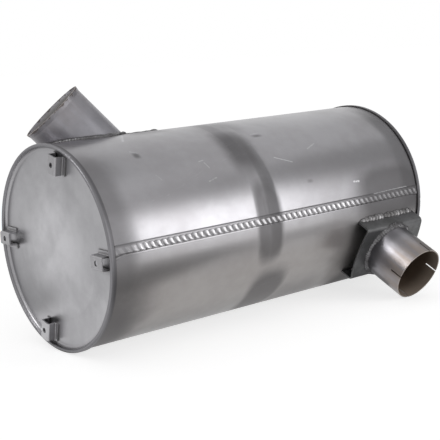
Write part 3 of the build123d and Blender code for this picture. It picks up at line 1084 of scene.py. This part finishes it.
@dataclass
class Seam:
    """Visible skin of the lock seam: bumps between the stitching wheel's dents, and the scalloped fold.

    Heights are measured from the drum's axis and widths round the drum from the seam's middle, upwards.
    """

    start: float = 0.0182
    end: float = 0.7078
    growth: tuple = (0.036, 0.094)
    band_top: float = 0.171
    plain: float = 0.1708
    crest: float = 0.1716
    gap: float = 0.17035
    slope: tuple = (0.0044, 0.0059)
    fold: float = 0.0040
    edge: float = 0.0070
    upper: float = 0.0062
    lower: float = 0.0114
    flare: float = 0.0026
    flare_run: float = 0.018
    notch_depth: float = 0.0009
    scallop: float = 0.0006
    thick: float = 0.0006
    step: float = 0.0006

    def ease(self, value: float, low: float, high: float) -> float:
        """0 below low, 1 above high and smooth between them."""
        t = min(1.0, max(0.0, (value - low) / (high - low)))
        return t * t * (3 - 2 * t)

    def widened(self, x: float) -> float:
        """How far the fold's lower edge spreads, which it does only beside the rims."""
        near = min(x - self.start, self.end - x)
        return self.flare * (1 - self.ease(near, 0.0, self.flare_run))

    def bump(self, x: float, up: float) -> float:
        """Tells the bumps from the dents, on lines that bend like an S.

        Args:
            x: distance along the drum.
            up: place across the seam.

        Returns:
            1 on a bump's crest and 0 in a dent.
        """
        bent = 0.25 * up + 2.1e-3 * (up / 0.005) ** 3 if abs(up) < 0.006 else STITCH_SLANT * up
        sway = 0.0003 * noise.noise(Vector((x * 70, 0.0, 4.0)))
        run = x - FIRST_STITCH - (STITCH_SLANT * STITCH_TOP - bent) - sway
        return (0.5 - 0.5 * math.cos(2 * math.pi * run / STITCH_PITCH)) ** 0.75

    def height(self, x: float, up: float) -> float:
        """Height of the skin, from its upper edge over the bumps and the fold's edge down to the drum.

        Args:
            x: distance along the drum.
            up: place across the seam.

        Returns:
            The height.
        """
        bump = self.bump(x, up)
        full = self.ease(x, *self.growth) * (1 + 0.25 * noise.noise(Vector((x * 85, 3.0, 0.0))))
        level = self.gap + (self.crest - self.gap) * bump
        level = self.plain + (level - self.plain) * min(1.0, 0.15 + 0.85 * full)
        drum = math.sqrt(DRUM_RADIUS**2 - up * up)
        notch = drum - self.notch_depth + self.scallop * bump
        spread = self.widened(x)
        roll = self.edge + spread
        if up > self.slope[0]:
            return level + (self.band_top - 0.00004 - level) * self.ease(up, *self.slope)
        if up > -self.fold:
            return level
        if up > -roll:
            t = (-self.fold - up) / (roll - self.fold)
            return notch + (level - notch) * math.sqrt(max(0.0, 1 - t * t))
        if up > -self.lower - spread + 0.0003:
            return notch + (drum + 0.00006 - notch) * self.ease(-up, roll, roll + 0.0008)
        return drum - 0.00006

    def rows(self, x: float) -> list[float]:
        """Places across the seam where the skin has its rows of points.

        Args:
            x: distance along the drum.

        Returns:
            The places, from the upper edge down.
        """
        spread = self.widened(x)
        roll = self.edge + spread
        upper = [self.upper - 0.0005 * i for i in range(21)]
        fold = [-self.fold - (roll - self.fold) * (1 - (1 - i / 9) ** 2) for i in range(1, 10)]
        below = [-roll - d for d in (0.0003, 0.0006, 0.0009, 0.0018, 0.0028, 0.0036)]
        return upper + fold + below + [-self.lower - spread]

    def build(self) -> None:
        """Sweeps the skin along the seam as a closed strip whose back lies inside the fold."""
        count = int((self.end - self.start) / self.step) + 1
        verts = []
        for share in shares(count):
            x = self.start + (self.end - self.start) * share
            ring = [(up, self.height(x, up)) for up in self.rows(x)]
            ring += [(up, high - self.thick) for up, high in (ring[-1], ring[0])]
            for up, high in ring:
                verts.append(Vector((x, 0.0, 0.0)) + onward(SEAM_ANGLE) * up + outward(SEAM_ANGLE) * high)
        piece = add_mesh("seam_skin", verts, tube_faces(count, len(verts) // count))
        piece.data.shade_smooth()
        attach(piece, "root")
        piece.data.materials.append(Drum().finish().material())
        LOG.info("seam_skin laid over the lock seam")


@dataclass
class Brackets:
    """The four hat brackets on the near cap."""

    names: tuple = ("bracket_upper", "bracket_front", "bracket_lower", "bracket_back")

    def dress(self) -> None:
        """Dull folded strip, worn at its edges."""
        tones = {"colour": (0.37, 0.366, 0.378), "other": (0.29, 0.286, 0.296), "worn": (0.5, 0.5, 0.51)}
        PlateFinish("bracket_strip", rough=0.4, **tones).dress(*self.names)


@dataclass
class Outlet:
    """The outlet stub, its saddle and their three weld beads."""

    at: float = 0.620
    radius: float = 0.0515
    reach: float = 0.273
    saddle_reach: float = 0.190
    saddle_half: float = 0.056
    saddle_bend: float = 0.008
    saddle_run: float = 0.144
    bead: float = 0.0076
    foot_bead: float = 0.0075
    foot_sway: float = 0.0012
    foot_short: float = 0.006

    def spot(self, x: float, across: float, height: float) -> Vector:
        """Place from the distance along the drum, round it and out from its axis."""
        return Vector((x, 0, 0)) + onward(OUTLET_ANGLE) * across + outward(OUTLET_ANGLE) * height

    def ring(self) -> None:
        """Bead round the pipe, which follows the saddle's bends."""
        track = []
        for turn in turns(440):
            radial = self.spot(math.cos(turn), math.sin(turn), 0.0)
            across = self.radius * math.sin(turn)
            over = max(0.0, abs(across) - (self.saddle_half - self.saddle_bend))
            drop = self.saddle_bend - math.sqrt(self.saddle_bend**2 - over**2)
            place = self.spot(self.at + self.radius * math.cos(turn), across, self.saddle_reach - drop)
            lean = math.copysign(over / self.saddle_bend, across)
            track.append((place, self.spot(0.0, lean, math.sqrt(1 - lean * lean)), radial))
        ripples = {"pitch": 0.0046, "ripple": 0.3, "lumps": 0.75, "flatten": 0.5, "fine": 0.32}
        WeldBead("outlet_bead", "outlet_weld", self.bead, Ends.RING, seed=5, **ripples).build(track)

    def foot_beads(self) -> None:
        """Beads along the saddle's feet, the upper one with more spatter."""
        height = math.sqrt(DRUM_RADIUS**2 - self.saddle_half**2)
        ripples = {"pitch": 0.0085, "ripple": 0.34, "lumps": 0.65, "flatten": 0.66}
        for name, side, drops in (("upper", 1, 26), ("lower", -1, 8)):
            aside = onward(OUTLET_ANGLE) * side
            foot = (aside * self.saddle_half + outward(OUTLET_ANGLE) * height).normalized()
            track = []
            for share in shares(190):
                x = self.at + (share - 0.5) * (self.saddle_run - self.foot_short)
                sway = self.foot_sway * noise.noise(Vector((x * 60, side, 2.0)))
                track.append((self.spot(x, side * (self.saddle_half + sway), height), foot, aside))
            names = (f"saddle_bead_{name}", f"saddle_weld_{name}")
            bead = WeldBead(*names, self.foot_bead, finish=WELD, drops=drops, seed=11 + side, **ripples)
            bead.build(track)

    def dress(self) -> None:
        """Dark scale on the saddle, bare streaked tube."""
        PlateFinish(
            "saddle_scale",
            colour=(0.14, 0.14, 0.144),
            other=(0.085, 0.087, 0.087),
            rough=0.42,
            cloud_scale=22.0,
            metal=0.6,
            worn=(0.36, 0.36, 0.37),
            grime_and_shade_colour=(0.045, 0.043, 0.04),
            grime_and_shade_share=0.3,
        ).dress("outlet_saddle")
        TubeFinish(
            "outlet_tube",
            colour=(0.31, 0.302, 0.322),
            other=(0.24, 0.233, 0.246),
            rough=0.33,
            spread=0.08,
            foot=(self.at, 0.0, 0.0),
            axis=tuple(outward(OUTLET_ANGLE)),
            radius=self.radius,
            mouth=self.reach,
            brown=Tint((0.30, 0.25, 0.215), 0.72),
            root_shade_to=0.224,
        ).dress("outlet_pipe")


@dataclass
class Inlet:
    """The leaning inlet stub, the bead round its foot and the low bead that runs on from it."""

    foot_x: float = 0.24802
    lean: float = 36.2
    radius: float = 0.05715
    reach: float = 0.28796
    bead: float = 0.0055
    run_angle: float = -6.5
    runs: tuple = (("inlet_run", 0.180, 0.246, 0.0022), ("inlet_run_end", 0.234, 0.250, 0.0046))

    def axis(self) -> Vector:
        """Unit vector along the stub, out of the drum."""
        lean = math.radians(self.lean)
        return outward(INLET_ANGLE) * math.cos(lean) - Vector((math.sin(lean), 0, 0))

    def ring(self) -> None:
        """Bead where the stub meets the drum."""
        axis, side = self.axis(), onward(INLET_ANGLE)
        other = axis.cross(side)
        track = []
        for turn in turns(480):
            radial = side * math.cos(turn) + other * math.sin(turn)
            base = Vector((self.foot_x, 0, 0)) + radial * self.radius
            flat, push = Vector((0, base.y, base.z)), Vector((0, axis.y, axis.z))
            a, b, c = push.dot(push), flat.dot(push), flat.dot(flat) - DRUM_RADIUS**2
            place = base + axis * ((-b + math.sqrt(b * b - a * c)) / a)
            track.append((place, Vector((0, place.y, place.z)).normalized(), radial))
        WeldBead("inlet_bead", "inlet_weld", self.bead, Ends.RING, pitch=0.0048, seed=8).build(track)

    def run_on(self) -> None:
        """Low bead that runs on from the foot along the drum's back and ends in a lump."""
        up, aside = outward(self.run_angle), onward(self.run_angle)
        sides = ((up + aside).normalized(), (up - aside).normalized())
        for name, start, end, leg in self.runs:
            places = [start + (end - start) * share for share in shares(90)]
            track = [(Vector((x, 0, 0)) + up * DRUM_RADIUS, *sides) for x in places]
            WeldBead(name, "", leg, lumps=0.4, lift=0.0).build(track)

    def dress(self) -> None:
        """Dull tube, rusty and sooty at its mouth."""
        TubeFinish(
            "inlet_tube",
            colour=(0.295, 0.29, 0.314),
            other=(0.235, 0.231, 0.249),
            rough=0.4,
            foot=(self.foot_x, 0.0, 0.0),
            axis=tuple(self.axis()),
            side=tuple(onward(INLET_ANGLE)),
            radius=self.radius,
            mouth=self.reach,
            rust_edge=0.002,
            soot=(0.26, 0.256, 0.256),
            bore_mouth_tone=(0.33, 0.318, 0.312),
        ).dress("inlet_pipe")


@dataclass
class Innards:
    """Baffles, transfer tubes and the outlet's seat cup, hidden inside."""

    baffles: tuple = ("baffle_front", "baffle_middle", "baffle_rear")
    tubes: tuple = ("transfer_tube_upper", "transfer_tube_front", "transfer_tube_back")
    seat: str = "outlet_seat"

    def dress(self) -> None:
        """Plain pressed sheet."""
        sheet = Finish("inner_sheet", colour=(0.27, 0.265, 0.27), other=(0.2, 0.19, 0.19), rough=0.45)
        sheet.dress(*self.baffles, *self.tubes, self.seat)


# Studio

# Places on the floor plan between which the lamps and upright cards stand.
LAMP_LEFT = ((1.05, -1.897), (1.652, -1.667))
LAMP_RIGHT = ((1.655, -1.665), (1.92, -1.565))
FLAG_RIGHT = ((1.93, -1.56), (2.79, -0.55))
STRIP_LEFT = ((-0.98, 0.03), (-0.83, 0.5))


def standing(left: tuple, right: tuple, low: float, high: float) -> tuple:
    """Corners of an upright card between two places on the floor plan."""
    return ((*left, low), (*right, low), (*right, high), (*left, high))


def lying(level: float, *corners: tuple) -> tuple:
    """Corners at one level, from places on the floor plan."""
    return tuple((*corner, level) for corner in corners)


@dataclass
class Card:
    """A grey card beside the set, which the metal mirrors and nothing else sees."""

    name: str
    corners: tuple
    grey: float

    def build(self) -> None:
        """Sets the card up by its corners."""
        card = add_mesh(self.name, self.corners, [tuple(range(len(self.corners)))])
        paint = bpy.data.materials.new(self.name)
        w = Wiring.of(paint)
        glow = w.add("Emission", {"Color": (self.grey,) * 3, "Strength": 1.0})
        w.add("OutputMaterial", {"Surface": glow.outputs[0]})
        card.data.materials.append(paint)
        card.visible_camera = card.visible_diffuse = card.visible_shadow = False
        card.visible_transmission = card.visible_volume_scatter = False


@dataclass
class Softbox:
    """A soft white area lamp that stands between two places on the floor plan."""

    name: str
    left: tuple
    right: tuple
    low: float
    high: float
    bright: float
    aim: tuple = (0.35, -0.1)

    def build(self) -> None:
        """Sets the lamp up and turns it to the object."""
        data = bpy.data.lights.new(self.name, "AREA")
        width, tall = math.dist(self.left, self.right), self.high - self.low
        data.shape, data.size, data.size_y = "RECTANGLE", width, tall
        data.energy = self.bright * math.pi * width * tall
        centre = Vector([(a + b) / 2 for a, b in zip(self.left, self.right)] + [(self.low + self.high) / 2])
        facing = Vector((*self.aim, centre.z)) - centre
        turn = facing.to_track_quat("-Z", "Y").to_matrix().to_4x4()
        add_object(self.name, data).matrix_world = Matrix.Translation(centre) @ turn


@dataclass
class Studio:
    """Camera, pale floor, white surroundings, soft lamps and grey cards.

    The level cards lie just over the floor, and where two of them overlap, one lies a little higher.
    """

    floor_level: float = -0.1723
    floor_half: float = 30.0
    floor_grey: float = 0.5
    floor_glow: float = 0.72
    fill: float = 0.6
    lens: float = 85.97
    sensor: float = 36.0
    camera_at: tuple = (-0.82179, -1.48179, 0.30268)
    camera_right: tuple = (0.77293, -0.63085, -0.06786)
    camera_up: tuple = (0.15395, 0.08270, 0.98461)
    softboxes: tuple = (
        Softbox("softbox_left", *LAMP_LEFT, -0.16, 0.8, 3.3),
        Softbox("softbox_right", *LAMP_RIGHT, -0.16, 0.8, 1.4),
        Softbox("softbox_left_high", *LAMP_LEFT, 0.8, 1.15, 1.4),
        Softbox("softbox_right_high", *LAMP_RIGHT, 0.8, 1.15, 1.0),
    )
    cards: tuple = (
        Card("flag_right", standing(*FLAG_RIGHT, -0.17, 1.3), 0.4),
        Card("flag_right_high", standing(*FLAG_RIGHT, 1.3, 2.0), 0.55),
        Card("flag_side", standing((2.79, -0.55), (2.60, 0.90), -0.17, 1.75), 0.3),
        Card("flag_left", standing((0.45, -1.95), (1.04, -1.90), -0.17, 2.2), 0.42),
        Card("strip_left", standing(*STRIP_LEFT, 0.82, 1.9), 8.0),
        Card("strip_over", lying(1.9, *STRIP_LEFT) + lying(2.4, (-0.1, 0.2), (-0.25, -0.2)), 3.4),
        Card("ceiling", lying(2.41, (-0.2, -0.9), (1.6, -0.9), (1.6, 0.7), (-0.2, 0.7)), 0.6),
        Card("floor_left", lying(-0.169, (-1.6, -2.9), (-0.3, -2.9), (-0.2, 0.3), (-0.9, 0.3)), 1.4),
        Card("floor_cap", lying(-0.17, (-0.19, -0.3), (-0.01, -0.3), (-0.01, 0.25), (-0.19, 0.25)), 1.3),
        Card("floor_cap_far", lying(-0.17, (-0.22, 0.26), (-0.01, 0.26), (-0.01, 0.5), (-0.22, 0.5)), 0.5),
        Card("floor_back", lying(-0.17, (-0.40, 0.5), (-0.05, 0.5), (-0.05, 1.0), (-0.36, 1.0)), 1.0),
        # Painted shadow: a dark card where the drum's shadow lies on the floor, which the metal mirrors.
        Card("shadow_card_under_drum", lying(-0.1718, (0.575, -0.165), (0.80, -0.165), (0.80, 0.0), (0.56, 0.0)), 0.3),
        Card("floor_band", lying(-0.17, (0.02, -0.19), (0.5, -0.38), (0.5, -0.56), (0.0, -0.52)), 0.3),
        Card("floor_band_right", lying(-0.17, (0.5, -0.38), (1.0, -0.40), (1.0, -0.56), (0.5, -0.56)), 0.5),
        Card("floor_bright", lying(-0.169, (0.25, -0.58), (0.95, -0.58), (1.75, -1.55), (1.10, -1.85)), 2.0),
        Card("floor_right", lying(-0.17, (1.0, -0.42), (2.6, -0.3), (2.0, -1.5), (1.2, -0.9)), 0.3),
    )

    def camera(self) -> None:
        """Camera at the photograph's viewing angle."""
        data = bpy.data.cameras.new("camera")
        data.lens, data.sensor_width, data.clip_end = self.lens, self.sensor, 100.0
        camera = add_object("camera", data)
        right, up = Vector(self.camera_right), Vector(self.camera_up)
        turn = Matrix((right, up, right.cross(up))).transposed()
        camera.matrix_world = Matrix.Translation(self.camera_at) @ turn.to_4x4()
        bpy.context.scene.camera = camera

    def seen(self, w: Wiring) -> Socket:
        """Tells where the background is looked at from where it only lights.

        Args:
            w: wiring of the floor's material or of the world.

        Returns:
            1 where it is seen, straight or in metal or glass, and 0 elsewhere.
        """
        path = w.add("LightPath").outputs
        straight = w.larger(path["Is Camera Ray"], path["Is Glossy Ray"])
        return w.larger(straight, path["Is Transmission Ray"])

    def surroundings(self) -> None:
        """White world, which lights the object less than it shows."""
        world = bpy.data.worlds.new("surroundings")
        bpy.context.scene.world = world
        w = Wiring.of(world)
        strength = w.blend(self.seen(w), self.fill, 1.0)
        glow = w.add("Background", {"Color": (1.0, 1.0, 1.0), "Strength": strength})
        w.add("OutputWorld", {"Surface": glow.outputs[0]})

    def floor(self) -> None:
        """Pale floor that reads white and keeps the object's shadow."""
        s = self.floor_half
        floor = add_mesh("floor", lying(0.0, (-s, -s), (s, -s), (s, s), (-s, s)), [(0, 1, 2, 3)])
        floor.location.z = self.floor_level
        paint = bpy.data.materials.new("floor_paint")
        w = Wiring.of(paint)
        matt = w.add("BsdfDiffuse", {"Color": (self.floor_grey,) * 3})
        glow = w.add("Emission", {"Strength": w.times(self.seen(w), self.floor_glow)})
        both = w.add("AddShader", {0: matt.outputs[0], 1: glow.outputs[0]})
        w.add("OutputMaterial", {"Surface": both.outputs[0]})
        floor.data.materials.append(paint)

    def build(self) -> None:
        """The whole studio."""
        self.camera()
        self.surroundings()
        self.floor()
        for part in (*self.softboxes, *self.cards):
            part.build()
        bpy.context.scene.view_settings.view_transform = "Standard"
        LOG.info("studio: %d lamps, %d cards", len(self.softboxes), len(self.cards))


def main() -> None:
    """Builds and dresses every piece in order."""
    logging.basicConfig(level=logging.INFO, format="%(name)s: %(message)s")
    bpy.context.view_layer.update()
    Studio().build()
    Drum().dress()
    Seam().build()
    Brackets().dress()
    outlet = Outlet()
    outlet.dress()
    outlet.ring()
    outlet.foot_beads()
    inlet = Inlet()
    inlet.dress()
    inlet.ring()
    inlet.run_on()
    Innards().dress()
    LOG.info("sizes written")


if __name__ == "__main__":
    main()
